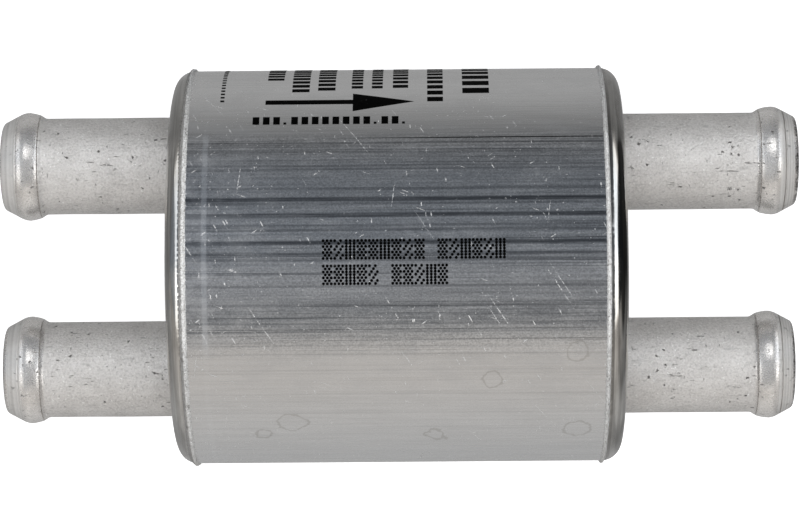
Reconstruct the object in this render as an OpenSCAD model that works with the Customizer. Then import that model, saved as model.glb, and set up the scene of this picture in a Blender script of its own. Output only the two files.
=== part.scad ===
// Inline gas-phase fuel filter: a rolled aluminium can with two hose nipples
// at each end and a pleated glass-fibre element sealed inside.
//
// Frame: X runs along the can, from the inlet end (-X) to the outlet end (+X).
// The two nipples of each end lie side by side along Y. Z is up. The origin is
// the centre of the can. All sizes are in millimetres.

/* [Can] */
// Outer diameter of the can
can_d = 50; // [48:0.5:54]
// Length of the can over its rolled ends
can_len = 56; // [54:1:80]
// Wall thickness of the can between its end plates
wall_t = 2.0; // [1.8:0.1:2.5]
// Wall thickness where the can is counterbored and rolled over
rolled_wall_t = 1.4; // [1.2:0.1:1.6]
// Outside radius of each rolled corner
corner_r = 2.4; // [2:0.1:3]
// Height of the burr ridge that rolling leaves around the can
ridge_h = 0.3; // [0.1:0.05:0.4]
// Thickness of the end plates
plate_t = 5; // [5:0.5:7]

/* [Nipples] */
// Distance from the centre of the can to the end of a nipple
nipple_reach = 50; // [46:1:70]
// Distance between the two nipples of one end
nipple_pitch = 26; // [25:0.5:26.5]
// Outside diameter of a nipple behind its bead
nipple_d = 12.2; // [11.5:0.1:12.5]
// Largest diameter of the bead that holds the hose
bead_d = 13.7; // [13:0.1:14]
// Bore of a nipple
bore_d = 9.5; // [8:0.1:9.6]

/* [Filter element] */
// Outer diameter of the pleats
pleats_d = 39.6; // [36:0.2:39.8]
// Number of pleats
pleat_count = 40; // [24:1:44]
// Thickness of the glass-fibre sheet
sheet_t = 0.6; // [0.4:0.05:0.7]
// Turns of the spring that presses the element towards the outlet
spring_turns = 3.4; // [2.6:0.2:3.6]

/* [Hidden] */
$fn = 96;

fit_gap = 0.02;                 // radial gap between pieces that are pressed together
can_r = can_d / 2;
can_end = can_len / 2;          // outer face of a rolled lip
bore_r = can_r - wall_t;        // inside of the can between the plates
seat_r = can_r - rolled_wall_t; // counterbore that takes an end plate
corner_x = can_end - corner_r;  // where a rolled corner starts
corner_mid_r = can_r - corner_r;
lip_r = 20.6;                   // inner edge of a rolled lip

plate_out = can_end - rolled_wall_t; // outer face of an end plate
plate_in = plate_out - plate_t;      // inner face of an end plate
plate_r = seat_r - fit_gap;
groove_w = 2.6;                      // O-ring groove of an end plate
groove_floor_r = seat_r - 1.8;
groove_x = plate_in + plate_t * 0.45;
o_ring_cord_r = 1.06;                // half the O-ring's squeezed width

nipple_r = nipple_d / 2;
shank_r = nipple_r - 0.5;       // turned-down end that goes through the plate
shank_seat = 2;                 // depth of the nipple's shoulder in the plate
stake_len = 0.6;                // nipple end staked over inside the plate
stake_r = nipple_r + 0.1;
bead_r = bead_d / 2;
tip_r = 5.6;                    // outer edge of a nipple's end
tip_break = 0.25;               // edge break around that end
mouth_chamfer = 0.35;
cone_len = 1.5;                 // lead-in cone, from the end
cone_r = 6.42;                  // where the lead-in cone meets the bead
crest_from = 2.6;               // cylindrical crest of the bead, from the end
crest_to = 3.6;
bead_len = 5.3;                 // where the bead has run out, from the end
braze_fillet = 0.5;

core_r = 9.4;                   // inside of the element's core
core_t = 1.0;
pleats_r = pleats_d / 2;
net_r = pleats_r + 0.2;         // inside of the support net
net_strand = 0.5;
cap_t = 1.4;                    // thickness of the element's end caps
cup_depth = 2.2;                // height of the walls that hold the potting
cup_wall = 1.0;
potting_t = 1.0;
gasket_t = 1.8;
gasket_r1 = 20.5;
gasket_r2 = 22.6;
outlet_plenum = 4.4;            // space between the open end cap and its plate
inlet_plenum = 6.4;             // space between the closed end cap and its plate

open_cap_out = plate_in - outlet_plenum;
closed_cap_out = -plate_in + inlet_plenum;
media_from = closed_cap_out + cap_t + potting_t;
media_to = open_cap_out - cap_t - potting_t;
cup_r1 = core_r - 0.2;          // inside radius of the potting cups
cup_r2 = net_r + net_strand + 0.3;

spring_wire = 1.2;
spring_flat = 0.4;              // part of a turn that lies flat at each end
spring_r = 5.2;                 // mean radius of the coil
spring_pocket = 1.0;            // depth of its seat in the inlet plate
spring_pocket_r = 6.2;

// Points of an arc about c, from angle a to angle b, in n steps.
function arc(c, r, a, b, n) =
    [for (i = [0 : n]) let (t = a + (b - a) * i / n) c + r * [cos(t), sin(t)]];

// Unit normal to the right of the line from p to q.
function right_of(p, q) =
    let (d = (q - p) / norm(q - p)) [d[1], -d[0]];

// A closed loop of points moved sideways by s, mitred at each corner.
function shifted_loop(loop, s) =
    [for (i = [0 : len(loop) - 1])
        let (
            before = loop[(i + len(loop) - 1) % len(loop)],
            after = loop[(i + 1) % len(loop)],
            n1 = right_of(before, loop[i]),
            n2 = right_of(loop[i], after),
            m = n1 + n2
        )
        loop[i] + s * m * 2 / (m * m)];

// Solids drawn about the Z axis, turned so that Z becomes the can's X axis.
module along_x() rotate([0, 90, 0]) children();

// Solids of the outlet end, or the same ones mirrored to the inlet end.
module at_end(end) {
    if (end > 0) children();
    else mirror([1, 0, 0]) children();
}

// A rectangle of a turned profile: radius from r1 to r2, length from x1 to x2.
module band(r1, r2, x1, x2)
    translate([r1, x1]) square([r2 - r1, x2 - x1]);

// One end of the can's turned profile: counterbored wall, rolled corner, lip.
module rolled_end_profile() {
    lip_round = rolled_wall_t / 2;
    ridge_r = ridge_h * 2;
    band(seat_r, can_r, plate_in, corner_x);
    intersection() {
        translate([corner_mid_r, corner_x]) difference() {
            circle(corner_r);
            circle(corner_r - rolled_wall_t);
        }
        band(corner_mid_r, can_r, corner_x, can_end);
    }
    band(lip_r + lip_round, corner_mid_r, plate_out, can_end);
    translate([lip_r + lip_round, can_end - lip_round]) circle(lip_round);
    translate([can_r + ridge_h - ridge_r, corner_x - 0.1]) circle(ridge_r);
}

module body_tube()
    color("silver") along_x() rotate_extrude() {
        band(bore_r, can_r, -plate_in, plate_in);
        rolled_end_profile();
        mirror([0, 1]) rolled_end_profile();
    }

// End plate blank: a disc with a rounded shoulder under the rolled corner.
module plate_profile() {
    shoulder_r = corner_r - rolled_wall_t;
    difference() {
        union() {
            band(0, plate_r, plate_in, corner_x);
            band(0, corner_mid_r, corner_x, plate_out);
            intersection() {
                translate([corner_mid_r, corner_x]) circle(shoulder_r - fit_gap);
                band(corner_mid_r, plate_r, corner_x, plate_out);
            }
        }
        band(groove_floor_r, can_r, groove_x - groove_w / 2, groove_x + groove_w / 2);
    }
}

module nipple_seat(y)
    translate([0, y, 0]) along_x() {
        translate([0, 0, plate_in - 1])
            cylinder(h = plate_t + 2, r = shank_r + fit_gap);
        translate([0, 0, plate_out - shank_seat])
            cylinder(h = shank_seat + 1, r = nipple_r + fit_gap);
    }

module end_plate()
    difference() {
        along_x() rotate_extrude() plate_profile();
        for (side = [-1, 1]) nipple_seat(side * nipple_pitch / 2);
    }

module inlet_end_plate()
    color("lightgray") difference() {
        at_end(-1) end_plate();
        translate([-plate_in - spring_pocket, 0, 0])
            along_x() cylinder(h = spring_pocket + 1, r = spring_pocket_r);
    }

module outlet_end_plate() color("lightgray") at_end(1) end_plate();

// Outline of a nipple, as [radius, X], from its tip back to the staked end.
function bead_front() =
    [for (i = [0 : 6]) let (t = i / 6)
        [cone_r + (bead_r - cone_r) * sin(90 * t),
         nipple_reach - cone_len - (crest_from - cone_len) * t]];
function bead_back() =
    [for (i = [0 : 10]) let (t = i / 10)
        [nipple_r + (bead_r - nipple_r) * (1 + cos(180 * t)) / 2,
         nipple_reach - crest_to - (bead_len - crest_to) * t]];
function nipple_outline() = concat(
    [[bore_d / 2 + mouth_chamfer, nipple_reach],
     [tip_r - tip_break, nipple_reach],
     [tip_r, nipple_reach - tip_break]],
    bead_front(),
    bead_back(),
    [[nipple_r, plate_out - shank_seat],
     [shank_r, plate_out - shank_seat],
     [shank_r, plate_in],
     [stake_r, plate_in - stake_len / 2],
     [stake_r - stake_len / 2, plate_in - stake_len],
     [bore_d / 2, plate_in - stake_len],
     [bore_d / 2, nipple_reach - mouth_chamfer]]);

module nipple(end, side)
    color("gainsboro") at_end(end)
        translate([0, side * nipple_pitch / 2, 0])
            along_x() rotate_extrude() polygon(nipple_outline());

// Fillet of braze metal in the corner between a nipple and its plate.
module braze_rings(end)
    color("silver") at_end(end) for (side = [-1, 1])
        translate([0, side * nipple_pitch / 2, 0]) along_x() rotate_extrude()
            difference() {
                band(nipple_r, nipple_r + braze_fillet,
                     plate_out, plate_out + braze_fillet);
                translate([nipple_r + braze_fillet, plate_out + braze_fillet])
                    circle(braze_fillet - 0.03);
            }

// O-ring in its groove, flattened between the groove's floor and the can.
module o_ring(end) {
    ring_mid_r = (groove_floor_r + seat_r) / 2;
    squeezed = (seat_r - groove_floor_r) / 2 - 0.01;
    color("dimgray") at_end(end) along_x() rotate_extrude() intersection() {
        translate([ring_mid_r, groove_x]) circle(o_ring_cord_r);
        band(ring_mid_r - squeezed, ring_mid_r + squeezed,
             plate_in, plate_out);
    }
}

// Middle line of the folded sheet: each pleat is an outer fold and an inner
// fold, each drawn as a short arc, and the straight legs between them.
function pleat_line() =
    let (
        step = 360 / pleat_count,
        outer_fold = 0.62, inner_fold = 0.4,
        outer_mid = pleats_r - sheet_t / 2 - outer_fold,
        inner_mid = core_r + core_t + 0.2 + sheet_t / 2 + inner_fold
    )
    [for (k = [0 : pleat_count - 1], inner = [0, 1])
        let (
            a = step * (k + inner / 2),
            mid = (inner ? inner_mid : outer_mid) * [cos(a), sin(a)]
        )
        each inner
            ? arc(mid, inner_fold, a + 180 + 80, a + 180 - 80, 4)
            : arc(mid, outer_fold, a - 80, a + 80, 4)];

module pleated_media()
    color("white") translate([media_from, 0, 0]) along_x()
        linear_extrude(media_to - media_from) difference() {
            polygon(shifted_loop(pleat_line(), sheet_t / 2));
            polygon(shifted_loop(pleat_line(), -sheet_t / 2));
        }

// Moulded core: rings joined by ribs, with windows that the gas leaves through.
module media_core() {
    windows_round = 8;
    windows_long = 4;
    window_w = 5.2;
    ring_w = 1.6;
    length = media_to - media_from;
    pitch = (length - ring_w) / windows_long;
    color("slategray") difference() {
        translate([media_from, 0, 0]) along_x() difference() {
            cylinder(h = length, r = core_r + core_t);
            translate([0, 0, -1]) cylinder(h = length + 2, r = core_r);
        }
        for (i = [0 : windows_long - 1], k = [0 : windows_round / 2 - 1])
            translate([media_from + ring_w + i * pitch, 0, 0])
                rotate([(k + 0.5) * 360 / windows_round, 0, 0])
                    translate([0, -window_w / 2, -core_r - 2 * core_t])
                        cube([pitch - ring_w, window_w, 2 * core_r + 4 * core_t]);
    }
}

// Support net around the pleats: rings joined by straight strands.
module media_net() {
    rings = 6;
    strands = 24;
    length = media_to - media_from;
    color("lightsteelblue") translate([media_from, 0, 0]) along_x() {
        for (i = [0 : rings - 1])
            translate([0, 0, i * (length - net_strand) / (rings - 1)])
                difference() {
                    cylinder(h = net_strand, r = net_r + net_strand);
                    translate([0, 0, -1]) cylinder(h = net_strand + 2, r = net_r);
                }
        for (k = [0 : strands - 1])
            rotate(k * 360 / strands)
                translate([net_r + 0.05, -net_strand / 2, 0])
                    cube([net_strand - 0.1, net_strand, length]);
    }
}

// Element cap of the inlet side: a closed cup, a spring post, centring lugs.
module closed_end_cap() {
    lug_w = 3;
    post_r = 4.2;
    post_h = 2.6;
    inner = closed_cap_out + cap_t;
    color("darkslategray") {
        along_x() rotate_extrude() {
            band(0, cup_r2 + cup_wall, closed_cap_out, inner);
            band(cup_r2, cup_r2 + cup_wall, inner, inner + cup_depth);
            band(cup_r1 - cup_wall, cup_r1, inner, inner + cup_depth);
            band(0, post_r, closed_cap_out - post_h, closed_cap_out);
        }
        for (a = [45 : 90 : 315]) rotate([a, 0, 0])
            translate([closed_cap_out, -lug_w / 2, cup_r2 + cup_wall / 2])
                cube([cap_t + cup_depth, lug_w, bore_r - 0.2 - cup_r2 - cup_wall / 2]);
    }
}

// Element cap of the outlet side: an open cup and a collar for the gasket.
module open_end_cap() {
    collar_t = 1.0;
    inner = open_cap_out - cap_t;
    flange_x = plate_in - gasket_t;
    color("darkslategray") along_x() rotate_extrude() {
        band(cup_r1 - cup_wall, cup_r2 + cup_wall, inner, open_cap_out);
        band(cup_r2, cup_r2 + cup_wall, inner - cup_depth, inner);
        band(cup_r1 - cup_wall, cup_r1, inner - cup_depth, inner);
        band(cup_r2, cup_r2 + collar_t, open_cap_out, flange_x);
        band(gasket_r1 - 0.3, gasket_r2 + 0.2, flange_x - cap_t, flange_x);
    }
}

// Bed of adhesive that the ends of the core, pleats and net stand on.
module potting(from)
    color("burlywood") along_x() rotate_extrude()
        band(cup_r1 + fit_gap, cup_r2 - fit_gap, from, from + potting_t);

module element_gasket()
    color("dimgray") along_x() rotate_extrude()
        band(gasket_r1, gasket_r2, plate_in - gasket_t, plate_in);

// Coil spring, swept as rings of points, with flat ends and open turns between.
module element_spring() {
    sides = 8;
    steps = 20;
    rings = round(spring_turns * steps);
    low = -plate_in - spring_pocket + spring_wire / 2;
    high = closed_cap_out - spring_wire / 2;
    function height(t) =
        let (risen = (t - spring_flat) / (spring_turns - 2 * spring_flat))
        low + (high - low) * min(1, max(0, risen));
    function ring(i) = let (t = i / steps, a = 360 * t)
        [for (k = [0 : sides - 1]) let (
            b = 360 * (k + 0.5) / sides,
            r = spring_r + spring_wire / 2 * cos(b)
        ) [height(t) + spring_wire / 2 * sin(b), r * cos(a), r * sin(a)]];
    points = [for (i = [0 : rings]) each ring(i)];
    walls = [for (i = [0 : rings - 1], k = [0 : sides - 1]) let (
            p = i * sides + k,
            q = i * sides + (k + 1) % sides
        ) each [[p, q, q + sides], [p, q + sides, p + sides]]];
    ends = [
        [for (k = [sides - 1 : -1 : 0]) k],
        [for (k = [0 : sides - 1]) rings * sides + k],
    ];
    color("gray") polyhedron(points, concat(walls, ends));
}

body_tube();
inlet_end_plate();
outlet_end_plate();
nipple(-1, 1);  // inlet_nipple_left
nipple(-1, -1);  // inlet_nipple_right
nipple(1, 1);  // outlet_nipple_left
nipple(1, -1);  // outlet_nipple_right
braze_rings(-1);  // inlet_braze_rings
braze_rings(1);  // outlet_braze_rings
o_ring(-1);  // inlet_o_ring
o_ring(1);  // outlet_o_ring
pleated_media();
media_core();
media_net();
closed_end_cap();
open_end_cap();
potting(closed_cap_out + cap_t);  // closed_end_potting
potting(media_to);  // open_end_potting
element_gasket();
element_spring();
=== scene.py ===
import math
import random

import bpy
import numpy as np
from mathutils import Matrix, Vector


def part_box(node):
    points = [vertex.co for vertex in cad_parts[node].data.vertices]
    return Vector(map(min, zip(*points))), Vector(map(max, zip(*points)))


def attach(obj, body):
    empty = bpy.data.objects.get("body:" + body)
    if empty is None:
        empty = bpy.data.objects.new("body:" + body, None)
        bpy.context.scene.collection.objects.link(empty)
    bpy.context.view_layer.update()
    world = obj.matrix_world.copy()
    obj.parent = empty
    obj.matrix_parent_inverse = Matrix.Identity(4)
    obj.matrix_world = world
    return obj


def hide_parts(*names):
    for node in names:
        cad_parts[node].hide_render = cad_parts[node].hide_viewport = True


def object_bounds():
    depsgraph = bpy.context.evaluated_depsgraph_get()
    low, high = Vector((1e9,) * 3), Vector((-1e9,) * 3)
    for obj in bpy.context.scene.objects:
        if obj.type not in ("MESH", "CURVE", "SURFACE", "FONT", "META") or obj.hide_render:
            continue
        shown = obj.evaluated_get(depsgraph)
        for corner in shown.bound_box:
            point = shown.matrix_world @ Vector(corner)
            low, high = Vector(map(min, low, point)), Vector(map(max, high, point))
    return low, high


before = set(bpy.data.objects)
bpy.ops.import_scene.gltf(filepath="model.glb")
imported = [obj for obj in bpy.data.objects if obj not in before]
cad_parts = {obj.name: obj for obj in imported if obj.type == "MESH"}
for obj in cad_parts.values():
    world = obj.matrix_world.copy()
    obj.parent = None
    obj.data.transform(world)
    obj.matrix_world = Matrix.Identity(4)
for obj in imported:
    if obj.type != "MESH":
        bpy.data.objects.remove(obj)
cad_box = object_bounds()

# Looks of an inline gas fuel filter: the rolled can, its four hose nipples, the
# braze metal and the printed marks are drawn again here as fine meshes, and every
# other piece keeps its CAD mesh and gets a procedural material.
#
# Lengths are in millimetres until a mesh is made. X runs along the can, and an
# angle about X is measured from +Z towards +Y. An end is -1 at the inlet and 1 at
# the outlet, and a side is 1 on the left (+Y) and -1 on the right.

MM = 0.001
END_NAMES = {-1: "inlet", 1: "outlet"}
SIDE_NAMES = {-1: "right", 1: "left"}


def node_span(name, axis):
    """Lowest and highest value of a CAD node along an axis, in millimetres."""
    low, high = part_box(name)
    return low[axis] / MM, high[axis] / MM


# ---------------------------------------------------------------- sizes

CAN_END = node_span("body_tube", 0)[1]
BURR_HIGH = 0.3                              # the CAD can's burr ridge
CAN_R = node_span("body_tube", 2)[1] - BURR_HIGH
CORNER_R = 2.4
CORNER_X = CAN_END - CORNER_R
LIP_R = 20.6                                 # inner edge of a rolled lip
WALL = 2.0
ROLLED_WALL = 1.4
SEAT_R = CAN_R - ROLLED_WALL
PLATE_IN, PLATE_OUT = node_span("outlet_end_plate", 0)

NIPPLE_ROOT, NIPPLE_TIP = node_span("outlet_nipple_left", 0)
NIPPLE_LOW, NIPPLE_HIGH = node_span("outlet_nipple_left", 1)
SPREAD = 0.1                                 # each stands this much wider than in CAD
NIPPLE_Y = (NIPPLE_LOW + NIPPLE_HIGH) / 2 + SPREAD
BEAD_R = (NIPPLE_HIGH - NIPPLE_LOW) / 2
NIPPLE_R = 6.1
BORE_R = 4.75
STEP_DEEP = 2.0                              # the barrel ends this deep in its plate
STEM_R = 5.6                                 # the stem from there to the staked root
STAKE_R, STAKE_BEVEL = 6.2, 0.3
DENT = 0.012                                 # depth of the dents in the can's ends and nipples
# How much further than its CAD shape each nipple stands out, by end and side.
LONGER = {(-1, 1): -0.1, (-1, -1): 0.25, (1, 1): 0.35, (1, -1): 0.15}

# Bead of each end's nipples: how far its crest is from the tip, the crest's radius,
# and how far from the tip and how deep the tool line on its cone is.
BEADS = {
    -1: {"crest": 3.25, "radius": 2.4, "line": 2.02, "deep": 0.08},
    1: {"crest": 3.1, "radius": 2.2, "line": 1.72, "deep": 0.26},
}
# The bead's rise from the barrel, with a tool line in it: distance from the tip, radius.
BEAD_RISE = ((5.5, NIPPLE_R), (5.32, 6.14), (5.15, 6.22), (5.0, 6.32), (4.83, 6.44),
             (4.76, 6.33), (4.69, 6.52), (4.5, 6.6), (4.25, 6.67), (3.95, 6.74), (3.7, 6.79))
CONE = 28                                    # slope of the lead-in cone, in degrees
TOOL_LINE_HALF = 0.08
TIP_ROUND, MOUTH_ROUND = 0.6, 0.3

# Ridge of each end: where it stands, half its width, height, and its grain.
RIDGES = {
    -1: {"x": 25.76, "half": 0.42, "height": 0.24, "grain": 0.055},
    1: {"x": 25.56, "half": 0.3, "height": 0.27, "grain": 0.045},
}
SHELL_SEGMENTS = 1200
NIPPLE_SEGMENTS = 256
# Painted shade for the groove that the rolling tool leaves outside each ridge, which the mesh
# doesn't cut: where it starts, is full, and ends.
GROOVE_SHADE = (25.78, 25.92, 26.15, 26.3)


# ---------------------------------------------------------------- meshes

def arc(centre, radius, start, end, steps):
    """Points of an arc in the (x, r) plane, angles in degrees from +X to +r."""
    turns = [math.radians(start + (end - start) * i / steps) for i in range(steps + 1)]
    return [(centre[0] + radius * math.cos(t), centre[1] + radius * math.sin(t)) for t in turns]


def line(start, end, steps):
    """Points from start up to, but without, end."""
    return [(start[0] + (end[0] - start[0]) * i / steps,
             start[1] + (end[1] - start[1]) * i / steps) for i in range(steps)]


def make_mesh(name, points, faces, materials, face_materials=None, sharp=40):
    """A smooth-shaded mesh object from points in millimetres."""
    mesh = bpy.data.meshes.new(name)
    mesh.from_pydata((np.asarray(points) * MM).tolist(), [], faces)
    for material in materials:
        mesh.materials.append(material)
    if face_materials is not None:
        mesh.polygons.foreach_set("material_index", face_materials)
    mesh.polygons.foreach_set("use_smooth", [True] * len(mesh.polygons))
    mesh.set_sharp_from_angle(angle=math.radians(sharp))
    mesh.update()
    piece = bpy.data.objects.new(name, mesh)
    bpy.context.scene.collection.objects.link(piece)
    return piece


def lathe(name, outline, segments, materials, centre_y=0.0, kinds=None, shape=None):
    """Turns a closed outline of (x, r) points about a line along X.

    kinds gives each outline point its material, and shape may move the points."""
    x, r = np.array(outline, float).T
    area = np.sum(x * np.roll(r, -1) - np.roll(x, -1) * r)
    turns = np.arange(segments) * 2 * math.pi / segments
    xs = np.repeat(x[:, None], segments, 1)
    rs = np.repeat(r[:, None], segments, 1)
    if shape:
        xs, rs = shape(xs, rs, turns[None, :])
    points = np.stack([xs, centre_y + rs * np.sin(turns), rs * np.cos(turns)], -1)
    faces, face_kinds = [], []
    count = len(outline)
    for i in range(count):
        here, there = i * segments, (i + 1) % count * segments
        for k in range(segments):
            k2 = (k + 1) % segments
            quad = (here + k, here + k2, there + k2, there + k)
            faces.append(quad if area < 0 else quad[::-1])
            face_kinds.append(kinds[i] if kinds else 0)
    return make_mesh(name, points.reshape(-1, 3), faces, materials, face_kinds)


def ripple(turns, count, rng):
    """Smooth random waves around a turn, count in all, mostly within -1 to 1."""
    total = np.zeros_like(turns)
    for _ in range(count):
        wave = rng.randint(2, 14)
        total = total + math.sqrt(2 / count) * np.sin(wave * turns + rng.uniform(0, 6.3)) / 1.6
    return total


# ---------------------------------------------------------------- materials

class Nodes:
    """A node tree, with short calls for the nodes that it uses."""

    def __init__(self, tree):
        self.tree = tree

    def node(self, kind, inputs=None, **settings):
        """A new node; inputs gives a value or a socket by input name or number."""
        made = self.tree.nodes.new("ShaderNode" + kind)
        for key, value in settings.items():
            setattr(made, key, value)
        for key, value in (inputs or {}).items():
            self.feed(made.inputs[key], value)
        return made

    def feed(self, socket, value):
        if isinstance(value, bpy.types.NodeSocket):
            self.tree.links.new(value, socket)
        else:
            socket.default_value = value

    def split(self, vector):
        return self.node("SeparateXYZ", {0: vector}).outputs

    def scale(self, vector, factor):
        return self.node("VectorMath", {0: vector, "Scale": factor}, operation="SCALE").outputs[0]

    def math(self, operation, a, b=0.0, c=0.0):
        return self.node("Math", {0: a, 1: b, 2: c}, operation=operation).outputs[0]

    def times(self, a, b):
        return self.math("MULTIPLY", a, b)

    def plus(self, a, b):
        return self.math("ADD", a, b)

    def minus(self, a, b):
        return self.math("SUBTRACT", a, b)

    def length(self, a, b):
        """Length of the vector (a, b)."""
        return self.math("SQRT", self.plus(self.times(a, a), self.times(b, b)))

    def highest(self, *values):
        found = values[0]
        for value in values[1:]:
            found = self.math("MAXIMUM", found, value)
        return found


class Recipe(Nodes):
    """The node tree of one material."""

    def __init__(self, name):
        self.material = bpy.data.materials.new(name)
        self.material.use_nodes = True
        super().__init__(self.material.node_tree)
        self.shader = self.tree.nodes["Principled BSDF"]

    def place(self):
        """Where a point of the piece is, in millimetres."""
        return self.scale(self.node("TexCoord").outputs["Object"], 1 / MM)

    def join(self, x, y, z=0.0):
        return self.node("CombineXYZ", {0: x, 1: y, 2: z}).outputs[0]

    def mapping(self, vector, scale=(1, 1, 1), turn=0.0, move=(0, 0, 0)):
        made = self.node("Mapping", {"Vector": vector, "Scale": scale, "Location": move,
                                     "Rotation": (0, 0, math.radians(turn))})
        return made.outputs[0]

    def noise(self, vector, scale, detail=2.0, rough=0.5, warp=0.0):
        made = self.node("TexNoise", {"Vector": vector, "Scale": scale, "Detail": detail,
                                      "Roughness": rough, "Distortion": warp})
        return made.outputs["Fac"]

    def cells(self, vector, scale):
        """Distance to the nearest scattered point, and that point's random number."""
        made = self.node("TexVoronoi", {"Vector": vector, "Scale": scale})
        return made.outputs["Distance"], self.split(made.outputs["Color"])[0]

    def band(self, value, low, high, to_low=0.0, to_high=1.0):
        """A smooth step of value, from to_low at low to to_high at high."""
        made = self.node("MapRange", {"Value": value, "From Min": low, "From Max": high,
                                      "To Min": to_low, "To Max": to_high},
                         interpolation_type="SMOOTHSTEP")
        return made.outputs["Result"]

    def mix(self, factor, a, b):
        """Colour a where factor is 0, and colour b where it is 1."""
        made = self.node("Mix", data_type="RGBA")
        self.feed(made.inputs["Factor"], factor)
        colour_inputs = [s for s in made.inputs if s.type == "RGBA"]
        for socket, value in zip(colour_inputs, (a, b)):
            self.feed(socket, value if isinstance(value, bpy.types.NodeSocket) else (*value, 1.0))
        return [s for s in made.outputs if s.type == "RGBA"][0]

    def bump(self, height, distance, normal=None):
        """Bump of a height from 0 to 1 that stands for distance millimetres."""
        made = self.node("Bump", {"Height": height, "Distance": distance * MM, "Strength": 1.0})
        if normal is not None:
            self.feed(made.inputs["Normal"], normal)
        return made.outputs[0]

    def finish(self, colour, roughness, normal=None, metallic=0.0, specular=0.5):
        self.feed(self.shader.inputs["Base Color"],
                  colour if isinstance(colour, bpy.types.NodeSocket) else (*colour, 1.0))
        self.feed(self.shader.inputs["Roughness"], roughness)
        self.feed(self.shader.inputs["Metallic"], metallic)
        self.shader.inputs["Specular IOR Level"].default_value = specular
        if normal is not None:
            self.feed(self.shader.inputs["Normal"], normal)
        return self.material


def around_can(recipe):
    """X along the can and the arc length around it from +Z, both in millimetres."""
    x, y, z = recipe.split(recipe.place())
    return x, recipe.times(recipe.math("ARCTAN2", y, z), CAN_R)


def scratches(recipe, flat, turn, size, chance, patches):
    """Mask of short straight scratches that lie at one angle to the can's axis.

    size is the spacing of the scratches along and across their own direction;
    patches is a mask that gathers them."""
    turned = recipe.mapping(flat, (1, 1, 1), turn)
    distance, chosen = recipe.cells(recipe.mapping(turned, (1 / size[0], 1 / size[1], 1)), 1.0)
    likely = recipe.times(patches, chance)
    return recipe.times(recipe.band(distance, 0.3, 0.12),
                        recipe.math("GREATER_THAN", likely, chosen))


# Scratches on the can: angle to its axis, spacing along and across them, and chance.
SCRATCHES = ((62, (2.2, 0.26), 0.05), (-35, (1.7, 0.26), 0.04), (84, (1.4, 0.3), 0.06),
             (22, (2.6, 0.22), 0.04), (57, (15.0, 0.2), 0.03), (97, (8.0, 0.2), 0.02))


def worn_marks(recipe, x, around):
    """White scratches, nicks and specks where the can has rubbed on others."""
    flat = recipe.join(x, around)
    patches = recipe.band(recipe.noise(flat, 0.13, 2.0), 0.38, 0.68, 0.15, 1.0)
    patches = recipe.plus(patches, recipe.band(x, -14.0, -25.0, 0.0, 0.9))
    layers = []
    for layer, (turn, size, chance) in enumerate(SCRATCHES):
        moved = recipe.mapping(flat, move=(7.3 * layer, 3.1 * layer, 0))
        layers.append(scratches(recipe, moved, turn, size, chance, patches))
    broken = recipe.band(recipe.noise(flat, 2.4, 2.0), 0.42, 0.56, 0.15, 1.0)
    marks = recipe.times(recipe.highest(*layers), broken)
    nicks = recipe.times(recipe.band(recipe.noise(flat, 2.6, 3.0, 0.6), 0.66, 0.74), patches)
    distance, chosen = recipe.cells(flat, 1.6)
    specks = recipe.times(recipe.band(distance, 0.16, 0.08),
                          recipe.math("GREATER_THAN", 0.2, chosen))
    nicks = recipe.highest(nicks, recipe.times(specks, 0.6))
    return recipe.highest(marks, recipe.times(nicks, 0.8))


# Die lines along the can: place around it, half width, depth of tone.
DIE_LINES = (
    (19.6, 0.12, 0.5), (18.22, 0.13, 0.35), (16.3, 0.13, 0.35), (15.78, 0.13, 0.4),
    (13.2, 0.16, 0.45), (11.78, 0.28, 0.92), (11.2, 0.14, 0.45), (9.78, 0.28, 0.92),
    (8.55, 0.15, 0.4), (7.93, 0.18, 0.55), (6.4, 0.26, 0.85), (5.03, 0.2, 0.65),
    (4.4, 0.2, 0.5), (1.15, 0.16, 0.4), (-1.1, 0.14, 0.35), (-3.45, 0.12, 0.3),
    (-4.46, 0.12, 0.3), (-9.6, 0.12, 0.12), (-13.2, 0.14, 0.12), (-16.4, 0.12, 0.1),
)


EDGE_LINE = 20.36     # where the drawn face ends on the +Y side, around the can


def edge_line(recipe, x, around):
    """The fine black line along that edge, over the outlet half of the can."""
    off = recipe.math("ABSOLUTE", recipe.minus(around, EDGE_LINE))
    return recipe.times(recipe.band(off, 0.13, 0.04), recipe.band(x, -10.0, 8.0))


def die_lines(recipe, around, place):
    """Dark drawn lines, each a little uneven along its length."""
    lines = []
    for where, half, depth in DIE_LINES:
        off = recipe.math("ABSOLUTE", recipe.minus(around, where))
        lines.append(recipe.band(off, half * 1.5, half * 0.4, 0.0, depth))
    uneven = recipe.noise(recipe.mapping(place, (0.05, 1.4, 1.4)), 2.0, 3.0, 0.6)
    return recipe.times(recipe.highest(*lines), recipe.band(uneven, 0.3, 0.6, 0.55, 1.0))


# Dried drops on the lower side: place along the can and around it, and radius.
DRIED_DROPS = ((-16.7, -20.8, 1.0), (-12.9, -18.1, 1.7), (11.6, -11.3, 1.1),
               (21.9, -7.4, 1.3), (21.8, -20.0, 1.5), (4.6, -21.2, 1.2))


def dried_drops(recipe, x, around):
    """Faint outlines that dried drops have left."""
    wander = recipe.noise(recipe.join(x, around), 0.4, 3.0, 0.6)
    rings = []
    for x_at, around_at, radius in DRIED_DROPS:
        span = recipe.length(recipe.minus(x, x_at), recipe.minus(around, around_at))
        span = recipe.plus(span, recipe.band(wander, 0.25, 0.75, -0.45, 0.45))
        off = recipe.math("ABSOLUTE", recipe.minus(span, radius))
        rings.append(recipe.band(off, 0.2, 0.06))
    return recipe.highest(*rings)


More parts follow.
